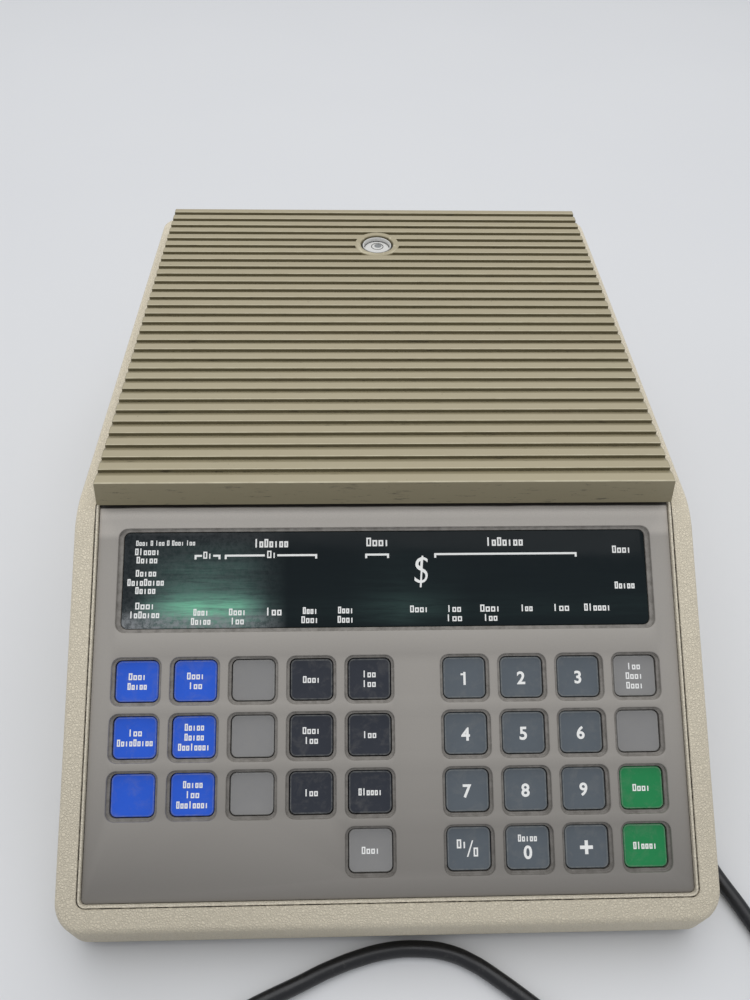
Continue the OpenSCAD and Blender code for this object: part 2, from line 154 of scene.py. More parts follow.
def cord_points():
    """The route, then the coil's turns, each a diameter above the last."""
    points = list(CORD_ROUTE)
    for i in range(1, round(COIL_TURNS * COIL_STEPS) + 1):
        turned = i / COIL_STEPS
        angle = math.radians(90 + 360 * turned)
        x = COIL_AT[0] + COIL_R * math.cos(angle)
        y = COIL_AT[1] + COIL_R * math.sin(angle)
        points.append((x, y, CORD_ROUTE[-1][2] + CORD_D * turned))
    return [Vector(p) * MM for p in points]


def make_cord(material):
    points = cord_points()
    data = bpy.data.curves.new("power_lead", "CURVE")
    data.dimensions = "3D"
    data.bevel_depth = CORD_D / 2 * MM
    data.bevel_resolution = 6
    data.resolution_u = 10
    data.use_fill_caps = True
    spline = data.splines.new("BEZIER")
    spline.bezier_points.add(len(points) - 1)
    for knot, point in zip(spline.bezier_points, points):
        knot.co = point
        knot.handle_left_type = knot.handle_right_type = "AUTO"
    data.materials.append(material)
    cord = add_object("power_lead", data)
    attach(cord, "chassis")
    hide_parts("power_cord", "cord_coil")
    return cord, points


# ---- materials ----


def rgb(red, green, blue):
    """A colour as seen on a screen, 0 to 255, as linear values."""
    linear = []
    for value in (red, green, blue):
        s = value / 255
        linear.append(s / 12.92 if s <= 0.04045 else ((s + 0.055) / 1.055) ** 2.4)
    return (*linear, 1)


def shade(colour, share):
    return (*(c * share for c in colour[:3]), 1)


class Paint:
    """One procedural material. Patterns are in the part's own frame, in metres."""

    def __init__(self, name, roughness=0.5, metallic=0.0, specular=0.5):
        self.material = bpy.data.materials.new(name)
        self.material.use_nodes = True
        self.tree = self.material.node_tree
        self.shader = self.tree.nodes["Principled BSDF"]
        self.shader.inputs["Roughness"].default_value = roughness
        self.shader.inputs["Metallic"].default_value = metallic
        self.shader.inputs["Specular IOR Level"].default_value = specular
        self.place = self.node("ShaderNodeTexCoord").outputs["Object"]

    def node(self, kind, **settings):
        made = self.tree.nodes.new(kind)
        for key, value in settings.items():
            setattr(made, key, value)
        return made

    def feed(self, socket, value):
        if isinstance(value, bpy.types.NodeSocket):
            self.tree.links.new(value, socket)
        else:
            socket.default_value = value

    def set(self, name, value):
        self.feed(self.shader.inputs[name], value)

    def stretched(self, scale):
        made = self.node("ShaderNodeMapping")
        self.feed(made.inputs["Vector"], self.place)
        made.inputs["Scale"].default_value = scale
        return made.outputs["Vector"]

    def noise(self, scale, detail=3.0, roughness=0.5, distortion=0.0, vector=None):
        made = self.node("ShaderNodeTexNoise")
        self.feed(made.inputs["Vector"], vector or self.place)
        made.inputs["Scale"].default_value = scale
        made.inputs["Detail"].default_value = detail
        made.inputs["Roughness"].default_value = roughness
        made.inputs["Distortion"].default_value = distortion
        return made.outputs["Fac"]

    def cells(self, scale, vector=None):
        """Distance to the nearest border between irregular cells."""
        made = self.node("ShaderNodeTexVoronoi", feature="DISTANCE_TO_EDGE")
        self.feed(made.inputs["Vector"], vector or self.place)
        made.inputs["Scale"].default_value = scale
        return made.outputs["Distance"]

    def ramp(self, value, *stops):
        made = self.node("ShaderNodeValToRGB")
        self.feed(made.inputs["Fac"], value)
        ends = made.color_ramp.elements
        while len(ends) < len(stops):
            ends.new(0.5)
        for end, (share, colour) in zip(ends, stops):
            end.position = share
            end.color = colour if hasattr(colour, "__len__") else (colour, colour, colour, 1)
        return made.outputs["Color"]

    def mix(self, share, first, second):
        made = self.node("ShaderNodeMix", data_type="RGBA")
        self.feed(made.inputs["Factor"], share)
        self.feed(made.inputs[6], first)
        self.feed(made.inputs[7], second)
        return made.outputs[2]

    def maths(self, operation, first, second):
        made = self.node("ShaderNodeMath", operation=operation)
        self.feed(made.inputs[0], first)
        self.feed(made.inputs[1], second)
        return made.outputs[0]

    def share(self, axis, low, high):
        """How far along an axis, X, Y or Z, a point is from low to high, in metres."""
        parts = self.node("ShaderNodeSeparateXYZ")
        self.feed(parts.inputs[0], self.place)
        return self.maths("DIVIDE", self.maths("SUBTRACT", parts.outputs[axis], low), high - low)

    def attribute(self, name):
        return self.node("ShaderNodeAttribute", attribute_name=name).outputs["Fac"]

    def bump(self, height, distance, strength=1.0, after=None):
        made = self.node("ShaderNodeBump")
        made.inputs["Strength"].default_value = strength
        made.inputs["Distance"].default_value = distance
        self.feed(made.inputs["Height"], height)
        if after is not None:
            self.feed(made.inputs["Normal"], after)
        self.feed(self.shader.inputs["Normal"], made.outputs["Normal"])
        return made.outputs["Normal"]


def plastic(name, colour, roughness, depth=0.00002, variation=0.08, dirt=None):
    """Moulded plastic: fine grain, slow colour variation, dull patches, and dirt where it gathers."""
    p = Paint(name, roughness)
    slow = p.noise(14, 4, 0.6)
    base = p.mix(slow, shade(colour, 1 - variation), shade(colour, 1 + variation))
    fine = p.noise(1200, 2)
    base = p.mix(p.ramp(fine, (0.35, 0.12), (0.6, 0.0)), base, shade(colour, 0.7))
    if dirt:
        specks = p.ramp(p.noise(230, 5, 0.7), (0.62, 0.0), (0.74, 1.0))
        base = p.mix(p.maths("MULTIPLY", specks, 0.35), base, dirt)
    p.set("Base Color", base)
    smears = p.noise(45, 5, 0.65, 0.6)
    p.set("Roughness", p.ramp(smears, (0.3, roughness - 0.07), (0.7, roughness + 0.09)))
    p.bump(fine, depth)
    return p.material


def metal(name, colour, roughness):
    """Sheet or machined metal with fine lines and dull marks."""
    p = Paint(name, roughness, metallic=1.0)
    lines = p.noise(1, 4, 0.7, vector=p.stretched((40, 900, 900)))
    slow = p.noise(30, 3)
    base = p.mix(slow, shade(colour, 0.82), colour)
    p.set("Base Color", p.mix(p.ramp(lines, (0.4, 0.0), (0.8, 0.5)), base, shade(colour, 0.65)))
    p.set("Roughness", p.ramp(slow, (0.3, roughness - 0.08), (0.7, roughness + 0.12)))
    p.bump(lines, 0.00002)
    return p.material


def leather_grain(name, colour):
    """Moulded leather grain: raised cells with creases between them, a little dust, and painted light that
    makes it lighter higher up and darker to the front.
    """
    p = Paint(name, 0.6)
    wobble = p.node("ShaderNodeTexNoise")
    p.feed(wobble.inputs["Vector"], p.place)
    wobble.inputs["Scale"].default_value = 600
    shift = p.node("ShaderNodeVectorMath", operation="SCALE")
    p.feed(shift.inputs[0], wobble.outputs["Color"])
    shift.inputs["Scale"].default_value = 0.0018
    warped = p.node("ShaderNodeVectorMath", operation="ADD")
    p.feed(warped.inputs[0], p.place)
    p.feed(warped.inputs[1], shift.outputs["Vector"])
    cells = p.cells(900, warped.outputs["Vector"])
    creases = p.ramp(cells, (0.0, 0.0), (0.3, 1.0))
    lumps = p.noise(520, 3, 0.6)
    slow = p.noise(9, 4, 0.6)
    base = p.mix(slow, shade(colour, 0.94), shade(colour, 1.04))
    # Painted light: the grain is painted lighter the higher it lies, up to the top of the console.
    painted_height_light = p.ramp(p.share("Z", 0.0, CONSOLE_Z * MM), (0.42, 0.0), (0.6, 0.4), (0.85, 0.75), (1.0, 1.0))
    base = p.mix(painted_height_light, base, shade(colour, 1.18))
    base = p.mix(p.ramp(creases, (0.0, 0.42), (0.5, 0.0)), base, shade(colour, 0.55))
    dust = p.ramp(p.noise(160, 6, 0.75), (0.6, 0.0), (0.78, 1.0))
    base = p.mix(p.maths("MULTIPLY", dust, 0.16), base, rgb(120, 108, 88))
    p.set("Base Color", base)
    p.set("Roughness", p.ramp(lumps, (0.3, 0.5), (0.7, 0.68)))
    first = p.bump(creases, 0.00022, 1.0)
    p.bump(lumps, 0.00016, 0.7, first)
    return p.material


def groove_dirt(name, colour):
    """Fine groove, clean in places and packed with dirt in others."""
    p = Paint(name, 0.8)
    packed = p.ramp(p.noise(330, 4, 0.7), (0.4, 0.25), (0.56, 1.0))
    p.set("Base Color", p.mix(packed, shade(colour, 0.75), rgb(66, 56, 44)))
    p.set("Roughness", p.ramp(p.noise(500, 3), (0.3, 0.7), (0.7, 0.9)))
    p.bump(p.noise(900, 3), 0.00004)
    return p.material


def cap_plastic(name, colour):
    """Key cap: fine satin grain, brighter in patches on its rounded edge, with painted shade and dirt down
    its sides.
    """
    p = Paint(name, 0.42)
    slow = p.noise(60, 3, 0.6)
    base = p.mix(slow, shade(colour, 0.94), shade(colour, 1.07))
    smudge = p.ramp(p.noise(150, 5, 0.7, 0.4), (0.5, 0.0), (0.75, 1.0))
    base = p.mix(p.maths("MULTIPLY", smudge, 0.16), base, rgb(150, 146, 138))
    edge = p.attribute("edge")
    patchy = p.noise(520, 5, 0.7)
    # The rounded edge of the cap's top is painted brighter in patches.
    corner = p.ramp(edge, (0.3, 0.0), (0.5, 1.0), (0.62, 0.0))
    bright_edge = p.maths("MULTIPLY", corner, p.ramp(patchy, (0.35, 0.25), (0.6, 1.0)))
    base = p.mix(p.maths("MULTIPLY", bright_edge, 0.35), base, rgb(176, 176, 170))
    # Painted shade and dirt: the cap's sides, down in the well, are painted darker in patches.
    side = p.ramp(edge, (0.7, 0.0), (0.95, 1.0))
    shade_and_grime = p.maths("MULTIPLY", side, p.ramp(patchy, (0.4, 0.2), (0.62, 0.9)))
    base = p.mix(p.maths("MULTIPLY", shade_and_grime, 0.6), base, shade(colour, 0.4))
    p.set("Base Color", base)
    p.set("Roughness", p.ramp(p.noise(90, 5, 0.65), (0.35, 0.34), (0.65, 0.5)))
    p.bump(p.noise(2600, 2), 0.000012)
    return p.material


def panel_plastic(name, colour):
    """Warm grey matt panel: painted shade to the front and at its rim, painted shade and dirt in its wells, a
    painted lighter band near the top and a painted shadow under the platform's lip.
    """
    p = Paint(name, 0.5)
    slow = p.noise(11, 4, 0.6)
    base = p.mix(slow, shade(colour, 0.95), shade(colour, 1.05))
    height = p.share("Z", PANEL_LOW.z * MM, CONSOLE_Z * MM)
    # Painted shade: the panel is painted darker towards its front.
    dull = p.ramp(height, (0.08, 1.0), (0.14, 0.85), (0.4, 0.27), (0.6, 0.1), (0.92, 0.0))
    base = p.mix(dull, base, shade(colour, 0.55))
    # Painted light: a lighter band near the top of the panel, just below the platform's lip.
    pale = p.ramp(height, (0.915, 0.0), (0.93, 0.31), (0.963, 0.35), (0.98, 0.6))
    base = p.mix(pale, base, shade(colour, 2.2))
    fine = p.noise(2400, 2)
    base = p.mix(p.ramp(fine, (0.3, 0.14), (0.62, 0.0)), base, shade(colour, 0.7))
    edge = p.attribute("edge")
    # Painted shade: darker in the wells and at the panel's rim, by the edge share.
    base = p.mix(p.maths("MULTIPLY", edge, 0.42), base, shade(colour, 0.42))
    patchy = p.ramp(p.noise(300, 5, 0.7), (0.4, 0.1), (0.65, 1.0))
    base = p.mix(p.maths("MULTIPLY", p.maths("MULTIPLY", edge, patchy), 0.6), base, rgb(62, 57, 50))
    # Painted shadow: near black right under the platform's lip, with a slightly wavy edge.
    painted_lip_shadow = p.maths("ADD", height, p.maths("MULTIPLY", p.noise(40, 3), 0.004))
    base = p.mix(p.ramp(painted_lip_shadow, (LIP_SHARE, 0.0), (LIP_SHARE + 0.003, 1.0)), base, rgb(30, 27, 24))
    p.set("Base Color", base)
    p.set("Roughness", p.ramp(p.noise(40, 5, 0.65), (0.35, 0.44), (0.65, 0.58)))
    p.bump(fine, 0.00002)
    return p.material


def rib_plastic(name, colour):
    """Olive moulded platform: satin tops with a painted highlight and rubbing on each rib's front edge,
    painted shade and dirt in the grooves and on the front skirt, and dust lying in the grooves.
    """
    p = Paint(name, 0.5)
    along = p.noise(1, 4, 0.6, vector=p.stretched((6, 60, 60)))
    base = p.mix(along, shade(colour, 0.92), shade(colour, 1.08))
    depth = p.attribute("depth")
    # Painted shade and dirt: darker in the grooves and on the front skirt, by the depth attribute.
    base = p.mix(p.maths("MULTIPLY", depth, 0.74), base, rgb(96, 88, 60))
    specks = p.ramp(p.noise(260, 5, 0.75), (0.66, 0.0), (0.74, 1.0))
    base = p.mix(p.maths("MULTIPLY", specks, 0.45), base, rgb(70, 60, 45))
    fluff = p.ramp(p.noise(1, 5, 0.75, vector=p.stretched((90, 700, 700))), (0.58, 0.0), (0.66, 1.0))
    lying = p.maths("MULTIPLY", p.ramp(depth, (0.15, 0.0), (0.6, 1.0)), fluff)
    base = p.mix(p.maths("MULTIPLY", lying, 0.7), base, rgb(58, 52, 42))
    # Painted highlight and rubbing: a pale line along each rib's front edge.
    rubbed_and_highlight = p.maths("MULTIPLY", p.attribute("wear_and_highlight"), p.ramp(p.noise(120, 4, 0.6), (0.35, 0.5), (0.6, 1.0)))
    base = p.mix(p.maths("MULTIPLY", rubbed_and_highlight, 0.75), base, rgb(214, 206, 178))
    p.set("Base Color", base)
    p.set("Roughness", p.ramp(p.noise(30, 5, 0.65, 0.5), (0.35, 0.42), (0.65, 0.58)))
    p.bump(p.noise(1500, 2), 0.00002)
    return p.material


def tinted_filter(name):
    """Dark display filter: a painted green reflection on the left, streaked by fine wipe marks, and a painted
    pale reflection, mottled, at its lower left.
    """
    p = Paint(name, 0.14, specular=0.1)
    half_w, half_l = GLASS[0] / 2, GLASS[1] / 2
    low = console_point(-half_w, WINDOW_U + half_l, GLASS_TOP)
    high = console_point(half_w, WINDOW_U - half_l, GLASS_TOP)
    share_x = p.share("X", low.x, high.x)
    share_z = p.share("Z", low.z, high.z)
    across = p.ramp(share_x, (0.02, 0.02), (0.1, 0.85), (0.14, 1.0), (0.22, 0.85), (0.245, 0.5),
                    (0.275, 0.12), (0.31, 0.01), (0.42, 0.02), (0.53, 0.1), (0.66, 0.02))
    down = p.ramp(share_z, (0.0, 0.37), (0.035, 0.5), (0.125, 0.95), (0.225, 1.0), (0.305, 0.62),
                  (0.375, 0.32), (0.575, 0.2), (0.805, 0.07), (0.955, 0.0))
    wipe = p.noise(1, 5, 0.75, vector=p.stretched((30, 420, 420)))
    # Painted reflection: a green glare on the left of the filter, streaked by the wipe marks.
    painted_glare = p.maths("MULTIPLY", across, down)
    streaked_glare = p.maths("MULTIPLY", painted_glare, p.ramp(wipe, (0.38, 0.5), (0.58, 1.0)))
    hue = p.mix(streaked_glare, rgb(136, 178, 170), rgb(126, 207, 168))
    base = p.mix(streaked_glare, rgb(23, 30, 33), hue)
    # Painted reflection: a pale mottled patch at the filter's lower left.
    left = p.ramp(share_x, (0.0, 1.0), (0.2, 0.85), (0.27, 0.5), (0.31, 0.0))
    foot = p.ramp(share_z, (0.025, 1.0), (0.105, 0.75), (0.175, 0.25), (0.255, 0.1))
    pale_reflection = p.maths("MULTIPLY", left, foot)
    reflection_mottle = p.ramp(p.noise(420, 6, 0.8), (0.42, 0.3), (0.56, 1.0))
    base = p.mix(p.maths("MULTIPLY", pale_reflection, reflection_mottle), base, rgb(146, 150, 152))
    p.set("Base Color", base)
    p.set("Roughness", p.ramp(p.noise(55, 6, 0.7), (0.35, 0.1), (0.7, 0.26)))
    p.bump(p.noise(1, 3, vector=p.stretched((20, 400, 400))), 0.000006)
    return p.material


def rubber(name, colour, roughness):
    p = Paint(name, roughness)
    slow = p.noise(35, 4)
    base = p.mix(slow, shade(colour, 0.8), shade(colour, 1.25))
    dust = p.ramp(p.noise(420, 5, 0.75), (0.58, 0.0), (0.75, 1.0))
    p.set("Base Color", p.mix(p.maths("MULTIPLY", dust, 0.2), base, rgb(120, 118, 112)))
    p.set("Roughness", p.ramp(p.noise(80, 4), (0.3, roughness - 0.1), (0.7, roughness + 0.1)))
    p.bump(p.noise(1800, 3), 0.00003)
    return p.material


def circuit_board(name):
    p = Paint(name, 0.4)
    tracks = p.ramp(p.cells(320), (0.03, 1.0), (0.06, 0.0))
    base = p.mix(tracks, rgb(24, 82, 48), rgb(70, 128, 76))
    p.set("Base Color", p.mix(p.ramp(p.noise(60), (0.4, 0.0), (0.8, 0.3)), base, rgb(16, 50, 32)))
    p.bump(tracks, 0.00003)
    return p.material


BEIGE = rgb(218, 208, 186)
HOUSING = leather_grain("housing_grain", BEIGE)
# The strip is the housing's grain painted a little lighter: a painted sheen on the strip.
STRIP = leather_grain("housing_strip", rgb(224, 215, 195))
GROOVE = groove_dirt("housing_groove_dirt", BEIGE)
PAN = plastic("pan_plastic", rgb(186, 177, 156), 0.6, depth=0.00004, dirt=rgb(110, 100, 84))
PANEL = panel_plastic("panel_plastic", rgb(163, 158, 151))
WINDOW = tinted_filter("window_filter")
PLATFORM = rib_plastic("platform_plastic", rgb(166, 156, 128))
CORD_BLACK = rubber("cord_sheath", rgb(13, 14, 19), 0.36)
PRINT = plastic("printed_white", rgb(248, 248, 245), 0.5, variation=0.03)
KEY_PAINTS = {
    "blue": cap_plastic("cap_blue", rgb(22, 88, 212)),
    "navy": cap_plastic("cap_navy", rgb(34, 39, 50)),
    "slate": cap_plastic("cap_slate", rgb(87, 95, 102)),
    "green": cap_plastic("cap_green", rgb(5, 131, 71)),
    "grey": cap_plastic("cap_grey", rgb(135, 134, 133)),
}

# ---- meshes ----


def tidy_mesh(data, smooth_to):
    """Merges doubled points, turns the faces outwards, and smooths all but the sharp edges."""
    work = bmesh.new()
    work.from_mesh(data)
    bmesh.ops.remove_doubles(work, verts=work.verts, dist=2e-6)
    bmesh.ops.recalc_face_normals(work, faces=work.faces)
    work.to_mesh(data)
    work.free()
    data.polygons.foreach_set("use_smooth", [True] * len(data.polygons))
    data.set_sharp_from_angle(angle=math.radians(smooth_to))


def place(piece, body, slot_name=None, *nodes):
    """Lets a piece ride on a body, and lists the CAD nodes that it replaces; its slot name is not used."""
    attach(piece, body)
    if nodes:
        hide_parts(*nodes)
    return piece


def rounded_outline(width, depth, radius, steps=6):
    """Rounded rectangle round its own centre, anticlockwise."""
    points = []
    cx, cy = width / 2 - radius, depth / 2 - radius
    for corner, (sx, sy) in enumerate(((1, 1), (-1, 1), (-1, -1), (1, -1))):
        for i in range(steps + 1):
            a = math.radians(90 * corner + 90 * i / steps)
            points.append((sx * cx + radius * math.cos(a), sy * cy + radius * math.sin(a)))
    return points


def loft(rings, capped):
    """Walls between rings of equally many points, with a cap on each end or none."""
    verts = [p for ring in rings for p in ring]
    n = len(rings[0])
    faces = []
    for k in range(len(rings) - 1):
        for i in range(n):
            j = (i + 1) % n
            faces.append((k * n + i, k * n + j, (k + 1) * n + j, (k + 1) * n + i))
    if capped:
        faces.append(tuple(range(n - 1, -1, -1)))
        last = (len(rings) - 1) * n
        faces.append(tuple(range(last, last + n)))
    return verts, faces


def console_ring(centre, width, length, radius, n, steps=6):
    """Rounded rectangle lying at height n over the panel, round a centre given as x and u."""
    x0, u0 = centre
    return [console_point(x0 + x, u0 - y, n) for x, y in rounded_outline(width, length, radius, steps)]


class Builder:
    """Collects lofts into one mesh, with a share from 0 to 1 kept at each point."""

    def __init__(self):
        self.verts, self.faces, self.shares = [], [], []

    def add(self, verts, faces, shares=0.0):
        base = len(self.verts)
        self.verts += verts
        self.faces += [tuple(base + i for i in f) for f in faces]
        self.shares += shares if isinstance(shares, list) else [shares] * len(verts)

    def add_loft(self, rings, shares=None, capped=False):
        verts, faces = loft(rings, capped)
        flat = [s for s, ring in zip(shares or [0.0] * len(rings), rings) for _ in ring]
        self.add(verts, faces, flat)

    def make(self, name, material, attribute=None, smooth_to=35):
        data = bpy.data.meshes.new(name)
        data.from_pydata([tuple(v) for v in self.verts], [], self.faces)
        if attribute:
            made = data.attributes.new(attribute, "FLOAT", "POINT")
            made.data.foreach_set("value", self.shares)
        data.materials.append(material)
        piece = add_object(name, data)
        tidy_mesh(data, smooth_to)
        return piece


# ---- key caps and legends ----

CAP_W = 18.8
CAP_L = 17.8
CAP_R = 2.7
CAP_H = 7.0
# Inset, height and paint's edge share, from the cap's foot to the middle of its dished top
CAP_PROFILE = [
    (0.0, -CAP_H, 1.0), (0.0, -0.9, 1.0), (0.05, -0.45, 0.9), (0.2, -0.14, 0.6), (0.45, -0.01, 0.5),
    (0.75, 0.0, 0.4), (1.4, -0.03, 0.1), (2.8, -0.12, 0.0), (4.6, -0.2, 0.0), (7.0, -0.27, 0.0),
]
STEM_R = 3.0
STEM_END = -15.4

# Each key's finish and its legend: a digit or sign, or how many marks each line of print has
KEYS = {
    "key_first_class": ("blue", (4, 5)), "key_third_class": ("blue", (4, 3)),
    "key_express": ("blue", (3, 9)), "key_intl_letter": ("blue", (5, 5, 8)),
    "key_blank_blue": ("blue", ()), "key_intl_print": ("blue", (5, 3, 8)),
    "key_blank_grey_1": ("grey", ()), "key_blank_grey_2": ("grey", ()),
    "key_blank_grey_3": ("grey", ()),
    "key_certified": ("navy", (4,)), "key_return_receipt": ("navy", (3, 3)),
    "key_special_delivery": ("navy", (4, 3)), "key_insured": ("navy", (3,)),
    "key_registered": ("navy", (3,)), "key_cod": ("navy", (6,)), "key_zero": ("grey", (4,)),
    **{"key_digit_" + digit: ("slate", digit) for digit in "123456789"},
    "key_clear": ("slate", (3, 1)), "key_digit_0": ("slate", "0"), "key_plus": ("slate", "+"),
    "key_zip_zone": ("grey", (3, 4, 4)), "key_blank_right": ("grey", ()),
    "key_tape": ("green", (4,)), "key_letter": ("green", (6,)),
}


def make_key(node, finish):
    centre = key_centre(node)
    shape = Builder()
    rings, shares = [], []
    for inset, height, share in CAP_PROFILE:
        width, length, radius = CAP_W - 2 * inset, CAP_L - 2 * inset, max(CAP_R - inset, 0.5)
        rings.append(console_ring(centre, width, length, radius, height - KEY_SINK))
        shares.append(share)
    shape.add_loft(rings, shares, capped=True)
    stem_n = (-KEY_SINK - CAP_H + 0.5, STEM_END - KEY_SINK)
    stem = [console_ring(centre, 2 * STEM_R, 2 * STEM_R, STEM_R - 0.01, n, 5) for n in stem_n]
    shape.add_loft(stem, capped=True)
    piece = shape.make("cap_" + node, KEY_PAINTS[finish], "edge", 50)
    place(piece, node, "key_" + finish, node)


def cap_height(dx, du):
    """The cap's own height at an offset from its centre; its top is dished."""
    inset = min(CAP_W / 2 - abs(dx), CAP_L / 2 - abs(du))
    for (a, low, _), (b, high, _) in zip(CAP_PROFILE[3:], CAP_PROFILE[4:]):
        if inset < b:
            return low + (high - low) * (inset - a) / (b - a)
    return CAP_PROFILE[-1][1]


LETTER_W = 1.4
LETTER_GAP = 0.4
LETTER_H = 2.15
CAPITAL_H = 3.0
LINE_PITCH = 4.15
STROKE = 0.52
DIGIT_H = 5.6
INK = 0.05
INK_GAP = 0.01


def printed_shape(shape, corners, n):
    """A thin sheet of ink with the corners given, lying on the surface at n."""
    sheets = [[console_point(x, u, n + rise) for x, u in corners] for rise in (0, INK)]
    shape.add_loft(sheets, capped=True)


def printed_block(shape, x, u, n, width, height):
    """A plain block of ink, its lower left corner at x, u."""
    printed_shape(shape, [(x, u), (x + width, u), (x + width, u - height), (x, u - height)], n)


def printed_frame(shape, x, u, n, width, height, stroke):
    """A hollow block of ink."""
    rings = []
    for inset, rise in ((0, 0), (0, INK), (stroke, INK), (stroke, 0), (0, 0)):
        x0, x1, u0, u1 = x + inset, x + width - inset, u - inset, u - height + inset
        rings.append([console_point(*p, n + rise) for p in ((x0, u0), (x1, u0), (x1, u1), (x0, u1))])
    shape.add_loft(rings)


def printed_word(shape, x, u, n, letters, size, wide, cap=None):
    """Small marks the size of letters, centred on x and standing on the line u.

    Letters is how many marks, or several such counts with gaps between them. On a key the centre of
    its cap is given, and each mark lies at the height the cap has there.
    """
    words = (letters,) if isinstance(letters, int) else letters
    step = (LETTER_W + LETTER_GAP) * size * wide
    place_at = x - (step * (sum(words) + 0.6 * (len(words) - 1)) - LETTER_GAP * size * wide) / 2
    base_n = n
    for word in words:
        for i in range(word):
            tall = CAPITAL_H if i == 0 or (i * 7 + word * 3) % 5 == 0 else LETTER_H
            if cap:
                far = max(abs(u - cap[1]), abs(u - tall * size - cap[1]))
                n = base_n + cap_height(abs(place_at + step / 2 - cap[0]) + step / 2, far)
            if (i * 5 + word) % 4 == 3:
                printed_block(shape, place_at + 0.35 * size, u, n, STROKE * size, tall * size)
            else:
                printed_frame(shape, place_at, u, n, LETTER_W * size * wide, tall * size, STROKE * size)
            place_at += step
        place_at += 0.6 * step


def sign_piece(name, text, x, u, n, height, weight, lean=0.0, wide=1.0):
    """A digit or sign of the given height, centred on x, u, lying on the surface at n."""
    data = bpy.data.curves.new(name + "_text", "FONT")
    data.body = text
    data.offset = weight
    data.shear = lean
    data.extrude = 0.01
    data.resolution_u = 4
    holder = add_object(name + "_text", data)
    bpy.context.view_layer.update()
    mesh = bpy.data.meshes.new_from_object(holder.evaluated_get(bpy.context.evaluated_depsgraph_get()))
    bpy.data.objects.remove(holder)
    xs = [v.co.x for v in mesh.vertices]
    ys = [v.co.y for v in mesh.vertices]
    scale = height / (max(ys) - min(ys))
    mid_x, mid_y = (max(xs) + min(xs)) / 2, (max(ys) + min(ys)) / 2
    for v in mesh.vertices:
        lift = INK if v.co.z > 0 else 0.0
        v.co = console_point(x + (v.co.x - mid_x) * scale * wide, u - (v.co.y - mid_y) * scale, n + lift)
    mesh.materials.clear()
    mesh.materials.append(PRINT)
    return add_object(name, mesh)


def make_legend(node, legend):
    x, u = key_centre(node)
    n = INK_GAP - KEY_SINK
    shape = Builder()
    if legend == "1":
        one_n = n + cap_height(1, 3.2)
        printed_block(shape, x - 0.3, u + 3.2, one_n, 1.0, DIGIT_H)
        printed_block(shape, x - 1.5, u - 1.0, one_n, 1.25, 0.8)
    elif isinstance(legend, str):
        down = 2.0 if legend == "0" else 0.4
        sign_n = n + cap_height(2, down + DIGIT_H / 2)
        place(sign_piece("legend_" + node, legend, x, u + down, sign_n, DIGIT_H, 0.026), node)
        if legend == "0":
            printed_word(shape, x, u - 2.4, n, 5, 0.95, 1.0, (x, u))
    elif node == "key_clear":
        printed_word(shape, x - 2.9, u - 0.1, n, 2, 1.2, 1.15, (x, u))
        printed_word(shape, x + 3.0, u + 3.3, n, 1, 1.2, 1.15, (x, u))
        slash_n = n + cap_height(2, 3.4)
        slash = [(-0.9, 3.4), (-0.3, 3.4), (2.0, -3.2), (1.4, -3.2)]
        printed_shape(shape, [(x + dx, u + du) for dx, du in slash], slash_n)
    else:
        first = u + CAPITAL_H / 2 - (len(legend) - 1) * LINE_PITCH / 2
        for i, letters in enumerate(legend):
            wide = 1.0 if letters > 4 else 1.16
            printed_word(shape, x, first + i * LINE_PITCH, n, letters, 0.97, wide, (x, u))
    if shape.verts:
        place(shape.make("marks_" + node, PRINT), node)


for key, (finish, legend) in KEYS.items():
    make_key(key, finish)
    if legend:
        make_legend(key, legend)

# ---- console panel ----

WELL = (21.6, 20.6, 3.8)
THROUGH = (19.3, 18.3, 2.9)
LEDGE_N = -1.6
LIP = 0.35
PANEL_MIDDLE = (0.0, (PANEL_L - PANEL_TUCK) / 2)
PANEL_SIZE = (PANEL_W, PANEL_FULL, 2.0)
PANEL_EDGE = 0.4
RECESS_THROUGH = (236.4, 43.2, 3.0)
WINDOW_AT = (0.0, WINDOW_U)


def inside(point, centre, size):
    """Whether a point, x and u, is inside a rounded rectangle."""
    width, length, radius = size
    dx = max(abs(point[0] - centre[0]) - (width / 2 - radius), 0)
    du = max(abs(point[1] - centre[1]) - (length / 2 - radius), 0)
    return math.hypot(dx, du) < radius - 1e-6


def flat_with_holes(outer, holes, n):
    """Triangles of the panel's face at n between one outline and the holes in it, each (centre, size)."""
    points, edges = [], []
    for centre, size in [outer] + holes:
        ring = rounded_outline(*size)
        base = len(points)
        points += [Vector((centre[0] + x, centre[1] - y)) for x, y in ring]
        edges += [(base + i, base + (i + 1) % len(ring)) for i in range(len(ring))]
    flat, _, triangles, _, _, _ = delaunay_2d_cdt(points, edges, [], 0, 1e-5)
    kept = []
    for t in triangles:
        mid = (sum(flat[i].x for i in t) / 3, sum(flat[i].y for i in t) / 3)
        if inside(mid, *outer) and not any(inside(mid, *hole) for hole in holes):
            kept.append(tuple(t))
    return [console_point(p.x, p.y, n) for p in flat], kept


def grown(size, by):
    return size[0] + 2 * by, size[1] + 2 * by, size[2] + by


def hole_rings(centre, mouth, throat):
    """Rings down a stepped hole: rounded lip, wall, rounded foot, ledge, and the wall through the panel."""
    foot = 0.3
    steps = [
        (grown(mouth, LIP), 0.0, 0.0), (grown(mouth, LIP * 0.35), -LIP * 0.3, 0.35), (mouth, -LIP, 0.5),
        (mouth, LEDGE_N + foot, 0.7), (grown(mouth, -foot * 0.35), LEDGE_N + foot * 0.3, 0.9),
        (grown(mouth, -foot), LEDGE_N, 0.8), (grown(throat, 0.2), LEDGE_N, 0.7),
        (throat, LEDGE_N - 0.2, 1.0), (throat, -PANEL_T, 1.0),
    ]
    rings = [console_ring(centre, *size, n) for size, n, _ in steps]
    return rings, [share for _, _, share in steps]


